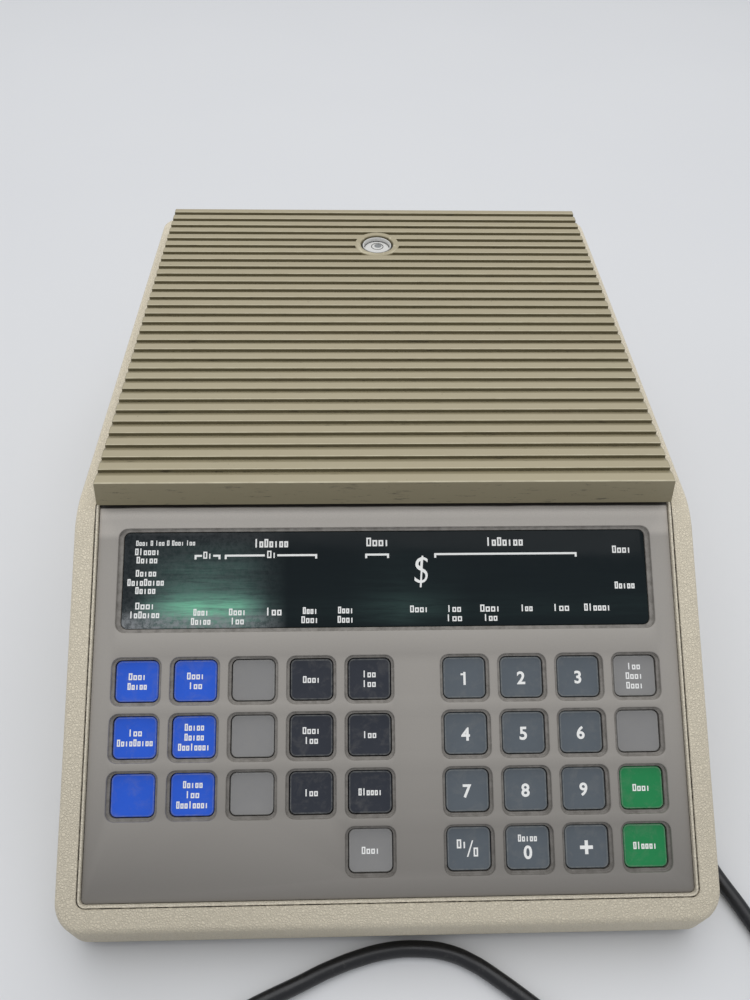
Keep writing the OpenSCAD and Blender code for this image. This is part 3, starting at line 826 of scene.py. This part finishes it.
def make_panel():
    keys = [key_centre(k) for k in KEYS]
    shape = Builder()
    holes = [(WINDOW_AT, grown(RECESS, LIP))] + [(k, grown(WELL, LIP)) for k in keys]
    verts, faces = flat_with_holes((PANEL_MIDDLE, grown(PANEL_SIZE, -PANEL_EDGE)), holes, 0.0)
    shape.add(verts, faces, 0.0)
    steps = ((PANEL_EDGE, 0.0), (PANEL_EDGE * 0.3, PANEL_EDGE * 0.3), (0.0, PANEL_EDGE), (0.0, PANEL_T))
    rim = [console_ring(PANEL_MIDDLE, *grown(PANEL_SIZE, -inset), -drop) for inset, drop in steps]
    shape.add_loft(rim, [0.0, 0.5, 1.0, 1.0])
    shape.add_loft(*hole_rings(WINDOW_AT, RECESS, RECESS_THROUGH))
    for key_at in keys:
        shape.add_loft(*hole_rings(key_at, WELL, THROUGH))
    back_holes = [(WINDOW_AT, RECESS_THROUGH)] + [(k, THROUGH) for k in keys]
    verts, faces = flat_with_holes((PANEL_MIDDLE, PANEL_SIZE), back_holes, -PANEL_T)
    shape.add(verts, faces, 1.0)
    place(shape.make("console_panel", PANEL, "edge", 40), "chassis", "panel_grey", "keyboard_bezel")


make_panel()

# ---- display window and its printing ----

GLASS_PROFILE = [(0.0, -2.4), (0.0, -0.35), (0.12, -0.1), (0.35, 0.0)]


def make_window():
    shape = Builder()
    rings = [console_ring(WINDOW_AT, *grown(GLASS, -inset), GLASS_TOP + n, 8) for inset, n in GLASS_PROFILE]
    shape.add_loft(rings, capped=True)
    place(shape.make("tinted_window", WINDOW), "chassis", "window_filter", "display_window")


# Printed words on the window: centre x, foot line u, marks, size, how wide they are set
WINDOW_WORDS = [
    (-52.2, 18.6, 7, 1.28, 0.97), (-4.0, 18.4, 4, 1.3, 1.18), (53.8, 18.6, 7, 1.3, 1.05),
    (-99.6, 17.5, (4, 1, 3, 1, 4, 3), 0.78, 1.0), (-107.6, 21.7, 6, 1.0, 1.05),
    (-107.7, 25.4, 5, 1.0, 1.07), (-107.9, 31.3, 5, 1.0, 1.05), (-107.9, 35.4, 9, 1.02, 1.0),
    (-107.9, 39.0, 5, 1.03, 1.0), (-107.7, 45.8, 4, 1.0, 1.28), (-107.9, 49.7, 7, 1.0, 1.07),
    (-83.0, 48.8, 4, 1.0, 0.98), (-83.0, 52.8, 5, 1.0, 1.0), (-66.8, 48.8, 4, 1.0, 1.12),
    (-66.8, 52.8, 3, 1.0, 1.14), (-50.7, 49.0, 3, 1.15, 1.18), (-34.6, 48.5, 4, 1.0, 0.94),
    (-34.6, 52.5, 4, 1.0, 1.12), (-18.7, 48.4, 4, 1.0, 1.0), (-18.7, 52.5, 4, 1.0, 1.06),
    (14.3, 48.2, 4, 1.0, 1.22), (30.0, 48.2, 3, 1.0, 1.2), (30.0, 52.3, 3, 1.0, 1.34),
    (46.3, 48.2, 4, 1.05, 1.28), (46.3, 52.3, 3, 1.0, 1.18), (62.7, 48.2, 3, 1.0, 1.05),
    (78.4, 48.2, 3, 1.05, 1.32), (94.8, 48.2, 6, 1.05, 1.1), (107.4, 22.2, 4, 1.1, 1.16),
    (107.8, 38.4, 5, 1.05, 1.0), (-80.6, 23.5, 2, 1.05, 1.2), (-51.8, 23.4, 2, 1.1, 1.25),
]
# Brackets: left x, right x, and the gap for a word in the middle
BRACKETS = [(-86.5, -74.9, 5.0), (-73.0, -31.5, 5.6), (-9.8, 1.0, 0.0), (21.5, 86.6, 0.0)]
BRACKET_U = 22.2
BRACKET_T = 0.9
BRACKET_LEG = 1.6
DOLLAR_AT = (15.4, 30.0)


def make_window_print():
    n = GLASS_TOP + INK_GAP
    shape = Builder()
    for x, u, letters, size, wide in WINDOW_WORDS:
        printed_word(shape, x, u, n, letters, size, wide)
    for left, right, gap in BRACKETS:
        middle = (left + right) / 2
        spans = [(left, middle - gap / 2), (middle + gap / 2, right)] if gap else [(left, right)]
        for a, b in spans:
            printed_block(shape, a, BRACKET_U + BRACKET_T / 2, n, b - a, BRACKET_T)
        for a in (left, right - BRACKET_T):
            printed_block(shape, a, BRACKET_U + BRACKET_LEG, n + 0.005, BRACKET_T, BRACKET_LEG)
    place(shape.make("window_print", PRINT), "chassis")
    x, u = DOLLAR_AT
    place(sign_piece("window_dollar", "$", x, u, n, 14.2, weight=-0.012, lean=0.1, wide=0.76), "chassis")


make_window()
make_window_print()

# ---- housing ----

HOUSING_LOW, HOUSING_HIGH = node_box("upper_housing")
CASE_W = HOUSING_HIGH.x - HOUSING_LOW.x
CASE_D = HOUSING_HIGH.y - HOUSING_LOW.y
DECK_Z = HOUSING_HIGH.z
CASE_R = 11.0
CASE_CORNER_STEPS = 12
WALL = 3.0
BEND_R = 34.0
RIM_RISE = 2.0
STRIP_W = 1.7
STRIP_RISE = 1.3
GROOVE_W = 0.5
GROOVE_T = 0.7
EDGE_R = 2.0
CONSOLE_ANGLE = math.asin(SIN_A)
# Lines across the long sides in front of the bend and behind it
FRONT_CUTS = [-150, -100]
REAR_CUTS = [0, 90, 150]
# The housing's finishes, as material indices; the strip's finish is the housing's grain painted lighter, a
# painted sheen.
GRAINED, LIGHTER_STRIP, DIRTY = range(3)
OPENING = grown(PANEL_SIZE, 0.3)
OPENING_FOOT = -14
STRIP_ZONE = grown(PANEL_SIZE, STRIP_W)
STRIP_FOOT = -2.4
STRIP_FRAME = (grown(STRIP_ZONE, -0.02), grown(OPENING, -0.4))
GROOVE_OUTER = grown(STRIP_ZONE, -0.05)
GROOVE_INNER = grown(GROOVE_OUTER, -GROOVE_W)
ABOVE_STRIP = 3
ABOVE_RIM = 9
DECK_HOLE = (60, 140, 6)
DECK_HOLE_Y = 22
PLATE_GAP = 0.2


def top_profile(t):
    """Function of y giving the height of the case's top, drawn t inside its outer skin."""
    bend_y = CONSOLE_Y + (DECK_Z - t - CONSOLE_Z - (RIM_RISE - t) / COS_A) * COS_A / SIN_A
    radius = BEND_R - t
    middle_y = bend_y + radius * math.tan(CONSOLE_ANGLE / 2)
    start_y = middle_y - radius * SIN_A

    def height(y):
        if y >= middle_y:
            return DECK_Z - t
        if y >= start_y:
            return DECK_Z - t - radius + math.sqrt(radius ** 2 - (middle_y - y) ** 2)
        return CONSOLE_Z + (y - CONSOLE_Y) * SIN_A / COS_A + (RIM_RISE - t) / COS_A

    return height, start_y, middle_y


def case_outline(inset, cuts):
    """Right half of the case's plan from front to back: (x, y) with points at each y in cuts."""
    w, d, r = CASE_W / 2 - inset, CASE_D / 2 - inset, CASE_R - inset
    half = []
    for start, middle_y, straight in ((-90, r - d, cuts), (0, d - r, [])):
        for i in range(CASE_CORNER_STEPS + 1):
            a = math.radians(start + 90 * i / CASE_CORNER_STEPS)
            half.append((w - r + r * math.cos(a), middle_y + r * math.sin(a)))
        half += [(w, y) for y in straight]
    return half


def case_solid(name, t, edge, floor_z):
    """Closed solid of the case drawn t inside its outer skin, its top edge rounded by edge."""
    height, start_y, middle_y = top_profile(t)
    bend = [start_y + (middle_y - start_y) * i / 8 for i in range(9)]
    cuts = FRONT_CUTS + bend + REAR_CUTS
    rings = []
    for angle in (None, 0, 15, 30, 45, 60, 75, 90) if edge else (None, 90):
        inset = edge * (1 - math.cos(math.radians(angle or 0)))
        drop = edge * (1 - math.sin(math.radians(angle or 0)))
        half = case_outline(t + inset, cuts)
        ring = []
        for x, y in half + [(-x, y) for x, y in reversed(half)]:
            z = floor_z if angle is None else height(y) - drop
            ring.append(Vector((x, y, z)) * MM)
        rings.append(ring)
    shape = Builder()
    shape.add_loft(rings)
    n = len(rings[0])
    for base, flip in ((0, True), ((len(rings) - 1) * n, False)):
        for i in range(n // 2 - 1):
            quad = (base + i, base + i + 1, base + n - 2 - i, base + n - 1 - i)
            shape.faces.append(tuple(reversed(quad)) if flip else quad)
    return shape.make(name, HOUSING, None, 30)


def cutter(name, rings, finish=GRAINED):
    shape = Builder()
    shape.add_loft(rings, capped=True)
    return finished(shape.make(name, HOUSING), finish)


def finished(piece, finish=GRAINED):
    """Gives all faces one of the housing's three finishes, which booleans carry over."""
    piece.data.materials.clear()
    for material in (HOUSING, STRIP, GROOVE):
        piece.data.materials.append(material)
    piece.data.polygons.foreach_set("material_index", [finish] * len(piece.data.polygons))
    return piece


def box_rings(low, high):
    corners = [(low[0], low[1]), (high[0], low[1]), (high[0], high[1]), (low[0], high[1])]
    return [[Vector((x, y, z)) * MM for x, y in corners] for z in (low[2], high[2])]


def cut(piece, tool, operation="DIFFERENCE"):
    """Applies one exact boolean, and removes the tool."""
    step = piece.modifiers.new("cut", "BOOLEAN")
    step.object = tool
    step.operation = operation
    step.solver = "EXACT"
    graph = bpy.context.evaluated_depsgraph_get()
    result = bpy.data.meshes.new_from_object(piece.evaluated_get(graph), depsgraph=graph)
    piece.modifiers.clear()
    piece.data = result
    bpy.data.objects.remove(tool)


def ring_cutter(name, outer, inner, low_n, high_n, finish):
    """Closed frame-shaped solid on the console between two rounded rectangles."""
    corners = ((outer, low_n), (outer, high_n), (inner, high_n), (inner, low_n), (outer, low_n))
    shape = Builder()
    shape.add_loft([console_ring(PANEL_MIDDLE, *size, n) for size, n in corners])
    return finished(shape.make(name, HOUSING), finish)


def make_housing():
    """The case hollowed out, then the smooth strip, painted lighter, and the groove round the console, and
    its openings.
    """
    housing = finished(case_solid("case_housing", 0, EDGE_R, HOUSING_LOW.z))
    cut(housing, finished(case_solid("cavity", WALL, 0, HOUSING_LOW.z - 1)))
    cut(housing, ring_cutter("strip_frame", *STRIP_FRAME, STRIP_FOOT, ABOVE_STRIP, LIGHTER_STRIP), "UNION")
    for name, size, foot in (("opening", OPENING, OPENING_FOOT), ("strip_zone", STRIP_ZONE, STRIP_RISE)):
        rings = [console_ring(PANEL_MIDDLE, *size, n) for n in (foot, ABOVE_RIM)]
        cut(housing, cutter(name, rings, LIGHTER_STRIP))
    groove_low, groove_high = STRIP_RISE - GROOVE_T, STRIP_RISE + 1
    cut(housing, ring_cutter("groove", GROOVE_OUTER, GROOVE_INNER, groove_low, groove_high, DIRTY))
    outline = rounded_outline(*DECK_HOLE)
    deck = [[Vector((x, DECK_HOLE_Y + y, z)) * MM for x, y in outline] for z in (DECK_Z - 10, DECK_Z + 5)]
    cut(housing, cutter("deck_hole", deck))
    plate_low, plate_high = node_box("rear_plate")
    low = (plate_low.x - PLATE_GAP, CASE_D / 2 - WALL - 1, plate_low.z - PLATE_GAP)
    high = (plate_high.x + PLATE_GAP, CASE_D / 2 + 5, plate_high.z + PLATE_GAP)
    cut(housing, cutter("plate_opening", box_rings(low, high)))
    tidy_mesh(housing.data, 30)
    place(housing, "chassis", "case_beige", "upper_housing")


make_housing()

# ---- weigh platform ----

PLATFORM_LOW, PLATFORM_HIGH = node_box("weigh_platform")
RIB_PITCH = 7.73
FIRST_GROOVE = 0.57 + RIB_PITCH
GROOVE_COUNT = 30
SKIN = 4.2
SIDE_WALL = 2.4
DRAFT = 1.5
LEVEL_LOW, LEVEL_HIGH = node_box("bubble_level")
LEVEL_AT = ((LEVEL_LOW.x + LEVEL_HIGH.x) / 2, (LEVEL_LOW.y + LEVEL_HIGH.y) / 2)
RIB_EDGE = 0.22
BOSS_R = 13.4
HOLE_R = 9.8
GROOVE_REACH = 3
SKIRT_SHADE = 0.62
# One groove, front to back: y from the upright front of the rib behind it, z from the ribs' tops
GROOVE_SHAPE = [
    (-3.8, 0.0), (-3.5, -0.05), (-3.2, -0.2), (-0.7, -1.5), (-0.4, -1.7), (-0.04, -1.75), (0.0, -1.7),
    (0.0, -0.36), (0.0, -RIB_EDGE), (0.06, -0.07), (RIB_EDGE, -0.02), (0.5, 0.0),
]


def platform_profile():
    """Side outline of the platform, y and z, from the foot of the front skirt over the ribs to the rear."""
    y0, y1, top, low = PLATFORM_LOW.y + DRAFT, PLATFORM_HIGH.y - DRAFT, PLATFORM_HIGH.z, PLATFORM_LOW.z
    points = [(y0 - DRAFT, low), (y0 - 0.04, top - 0.32), (y0 - 0.02, top - RIB_EDGE)]
    points += [(y0 + 0.06, top - 0.07), (y0 + RIB_EDGE, top - 0.02), (y0 + 0.9, top)]
    for i in range(GROOVE_COUNT):
        line = y0 + FIRST_GROOVE + i * RIB_PITCH
        points += [(line + dy, top + dz) for dy, dz in GROOVE_SHAPE]
    return points + [(y1 - 0.5, top), (y1 - 0.15, top - 0.12), (y1, top - 0.5), (y1 + DRAFT, low)]


def rib_highlight_and_wear(point):
    """1 along the front edge of each rib and of the platform, where a painted highlight lies and where hands
    and parcels rub it.
    """
    along = point.y / MM - PLATFORM_LOW.y - DRAFT
    from_edge = min(abs(along), abs((along - FIRST_GROOVE + RIB_PITCH / 2) % RIB_PITCH - RIB_PITCH / 2))
    return 1.0 if from_edge < RIB_EDGE + 0.03 and PLATFORM_HIGH.z - point.z / MM < RIB_EDGE + 0.03 else 0.0


def rib_shade(point, below):
    """How dark the painted shade and dirt are in a groove: full on a rib's upright face, half on the slope
    before it.
    """
    along = point.y / MM - PLATFORM_LOW.y - DRAFT - FIRST_GROOVE
    if below < 0.04:
        return 0.0
    if (along + RIB_PITCH / 2) % RIB_PITCH - RIB_PITCH / 2 > -0.1:
        return 1.0
    return 0.42 + 0.2 * below


def make_platform():
    profile = platform_profile()
    top, skirt = PLATFORM_HIGH.z, PLATFORM_HIGH.z - PLATFORM_LOW.z
    half = PLATFORM_HIGH.x - DRAFT
    rings = []
    for side, end in ((-1, True), (-1, False), (1, False), (1, True)):
        ring = []
        for y, z in profile:
            x = half + DRAFT * (top - z) / skirt if end else half - 0.3
            ring.append(Vector((side * x, y, z - 0.2 * (end and top - z < 0.4))) * MM)
        rings.append(ring)
    shape = Builder()
    shape.add_loft(rings, capped=True)
    platform = shape.make("ribbed_platform", PLATFORM, None, 28)
    low = (-half + SIDE_WALL, PLATFORM_LOW.y + DRAFT + SIDE_WALL, PLATFORM_LOW.z - 3)
    high = (half - SIDE_WALL, PLATFORM_HIGH.y - DRAFT - SIDE_WALL, top - SKIN)
    cut(platform, cutter("underside", box_rings(low, high)))
    boss_z = (top - SKIN - 0.5, top - 0.3, top + 0.02)
    boss = [disc(LEVEL_AT, BOSS_R - inset, z) for z, inset in zip(boss_z, (0, 0, 0.3))]
    cut(platform, cutter("boss", boss), "UNION")
    hole = ((HOLE_R, top - 12), (HOLE_R, top - 0.4), (HOLE_R + 0.5, top + 0.1))
    cut(platform, cutter("sight_hole", [disc(LEVEL_AT, r, z) for r, z in hole]))
    tidy_mesh(platform.data, 28)
    depth = platform.data.attributes.new("depth", "FLOAT", "POINT")
    wear_and_highlight = platform.data.attributes.new("wear_and_highlight", "FLOAT", "POINT")
    # depth holds the painted shade and dirt of the grooves and of the front skirt; the other attribute holds
    # the painted highlight and rubbing of the front edges.
    for vertex in platform.data.vertices:
        below = top - vertex.co.z / MM
        bright_edge = rib_highlight_and_wear(vertex.co)
        dark = 0.0
        if below < GROOVE_REACH and not bright_edge:
            dark = rib_shade(vertex.co, below)
        elif vertex.co.y < (PLATFORM_LOW.y + DRAFT) * MM and not bright_edge:
            dark = SKIRT_SHADE
        depth.data[vertex.index].value = dark
        wear_and_highlight.data[vertex.index].value = bright_edge
    place(platform, "platform", "platform_khaki", "weigh_platform")


def disc(centre, radius, z, steps=48):
    ring = []
    for i in range(steps):
        a = math.tau * i / steps
        ring.append(Vector((centre[0] + radius * math.cos(a), centre[1] + radius * math.sin(a), z)) * MM)
    return ring


make_platform()

# ---- bubble level ----

# Radius and height over the level's top
CUP = [(8.6, -0.3), (8.6, 1.6), (8.5, 1.75), (8.15, 1.75), (8.0, 1.6), (7.8, -0.9), (8.6, -0.9), (8.6, -0.3)]
VIAL = [(7.75, -1.2), (7.75, -0.7), (6.4, -0.55), (4.0, -0.45), (1.5, -0.4)]
BUBBLE = [(2.3, -0.6), (2.2, -0.38), (1.5, -0.28), (0.5, -0.25)]
# Dark rings: offset from the level's middle, inner and outer radius, lowest and highest point
LEVEL_RINGS = [(0, 0, 8.5, 9.4, -0.2, 0.3), (0, 0, 7.3, 7.78, -0.8, -0.3), (0.3, 1.8, 3.3, 3.75, -0.8, -0.35)]
BUBBLE_OFFSET = (0.7, 2.4)


def dress(node, material):
    """Gives a CAD node its procedural material."""
    for slot in frame["nodes"][node].material_slots:
        slot.material = material


def add_turned(shape, profile, offset=(0, 0), capped=True, steps=48):
    """Adds a round solid of the level: its profile's radii and heights, and its offset from the middle."""
    at = (LEVEL_AT[0] + offset[0], LEVEL_AT[1] + offset[1])
    shape.add_loft([disc(at, r, LEVEL_HIGH.z + h, steps) for r, h in profile], capped=capped)


def make_level():
    """The level's cup with its pale vial, the dark rings round the glass and on it, and the bubble."""
    white = plastic("level_white", rgb(214, 213, 209), 0.3)
    ink = plastic("level_ink", rgb(72, 72, 70), 0.5)
    bubble = plastic("level_bubble", rgb(132, 134, 134), 0.12)
    cup, vial, rings, blob = Builder(), Builder(), Builder(), Builder()
    add_turned(cup, CUP, capped=False)
    add_turned(vial, VIAL)
    for dx, dy, inner, outer, low, high in LEVEL_RINGS:
        section = [(outer, low), (outer, high), (inner, high), (inner, low), (outer, low)]
        add_turned(rings, section, (dx, dy), capped=False)
    add_turned(blob, BUBBLE, BUBBLE_OFFSET, steps=32)
    place(cup.make("level_cup", white, smooth_to=60), "chassis")
    place(vial.make("level_vial", white, smooth_to=60), "chassis")
    place(rings.make("level_rings", ink), "chassis")
    place(blob.make("level_bubble", bubble, smooth_to=60), "chassis")
    dress("bubble_level", white)


make_level()

# ---- finishes of the CAD nodes that stay ----

STEEL = metal("zinc_steel", rgb(196, 198, 200), 0.35)
ALUMINIUM = metal("cell_aluminium", rgb(206, 208, 210), 0.3)
BOARD = circuit_board("circuit_board")
BLACK = plastic("switch_black", rgb(26, 26, 28), 0.45)
FINISHES = {
    "base_pan": PAN,
    "case_screws": STEEL,
    "rear_plate": metal("rear_plate_metal", rgb(190, 190, 186), 0.45),
    "display_tube": plastic("tube_glass", rgb(40, 48, 46), 0.15),
    "key_guide_plate": plastic("guide_plastic", rgb(120, 120, 118), 0.5),
    "key_springs": metal("spring_steel", rgb(170, 172, 176), 0.28),
    "keyboard_board": BOARD,
    "logic_board": BOARD,
    "base_frame": metal("frame_steel", rgb(140, 146, 152), 0.5),
    "load_cell": ALUMINIUM,
    "platform_spider": metal("spider_steel", rgb(176, 180, 184), 0.4),
    "transformer": metal("transformer_iron", rgb(120, 112, 100), 0.55),
    "interface_connector": metal("connector_shell", rgb(206, 206, 200), 0.25),
    "power_switch_body": BLACK,
    "power_rocker": plastic("rocker_red", rgb(190, 34, 28), 0.35),
    "cord_gland": rubber("gland_rubber", rgb(28, 28, 30), 0.5),
    "power_plug": rubber("plug_rubber", rgb(26, 27, 29), 0.45),
}
for node, material in FINISHES.items():
    dress(node, material)
FOOT = rubber("foot_rubber", rgb(48, 47, 46), 0.7)
for node in frame["nodes"]:
    if node.startswith("foot_"):
        dress(node, FOOT)

cord, cord_line = make_cord(CORD_BLACK)

# ---- floor and light ----

FLOOR_HALF = 3.0


def make_floor():
    corners = [(-FLOOR_HALF, -FLOOR_HALF, 0), (FLOOR_HALF, -FLOOR_HALF, 0),
               (FLOOR_HALF, FLOOR_HALF, 0), (-FLOOR_HALF, FLOOR_HALF, 0)]
    p = Paint("floor_paint", 0.55)
    slow = p.noise(3, 3)
    p.set("Base Color", p.mix(slow, rgb(216, 217, 219), rgb(221, 222, 223)))
    shape = Builder()
    shape.add(corners, [(0, 1, 2, 3)])
    shape.make("floor", p.material)


def make_light(name, at, aim, size, power):
    data = bpy.data.lights.new(name, "AREA")
    data.shape = "RECTANGLE"
    data.size, data.size_y = size
    data.energy = power
    lamp = add_object(name, data)
    lamp.location = at
    lamp.rotation_mode = "QUATERNION"
    lamp.rotation_quaternion = (Vector(aim) - Vector(at)).to_track_quat("-Z", "Y")


def make_world(colour, strength):
    world = bpy.data.worlds.new("studio")
    world.use_nodes = True
    background = world.node_tree.nodes["Background"]
    background.inputs["Color"].default_value = colour
    background.inputs["Strength"].default_value = strength
    bpy.context.scene.world = world
    bpy.context.scene.view_settings.view_transform = "Standard"


make_floor()
make_light("overhead", (0.0, 0.5, 1.9), (0, 0.0, 0.1), (2.6, 2.2), 25)
make_world(rgb(222, 224, 228), 0.74)
